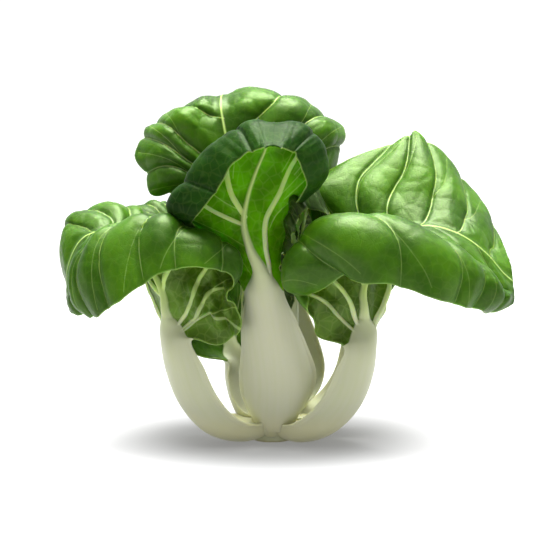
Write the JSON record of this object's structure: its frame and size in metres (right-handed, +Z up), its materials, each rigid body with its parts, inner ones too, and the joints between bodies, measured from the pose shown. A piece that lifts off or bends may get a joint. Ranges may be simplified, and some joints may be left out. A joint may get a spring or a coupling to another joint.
{
  "type": "bok choy",
  "caption": "Small head of bok choy standing on its cut base: broad white stalks curve up and out into glossy green puckered leaves that arch, roll and hood over.",
  "frame": {"origin": "middle of the flat cut face under the stem, on the surface that the head stands on", "axes": "+Z up along the stem, +X towards the widest leaf, +Y towards the tall back leaf, so that the side with the hooded leaf faces -Y"},
  "size_m": [0.1972, 0.1203, 0.1524],
  "materials": {
    "stem": "moist pale flesh, browned a little at the cut",
    "leaf": "glossy puckered green blade with pale veins on a smooth white stalk",
    "heart_leaf": "crinkled dark green blade with pale veins on a smooth cream stalk"
  },
  "bodies": {
    "root": {"stem_base": "stem", "left_leaf": "leaf", "right_leaf": "leaf", "right_back_leaf": "leaf", "back_left_leaf": "leaf", "front_leaf": "leaf", "back_leaf": "leaf", "inner_right_leaf": "heart_leaf", "inner_left_leaf": "heart_leaf", "inner_back_leaf": "heart_leaf", "heart_leaf": "heart_leaf"}
  },
  "joints": []
}
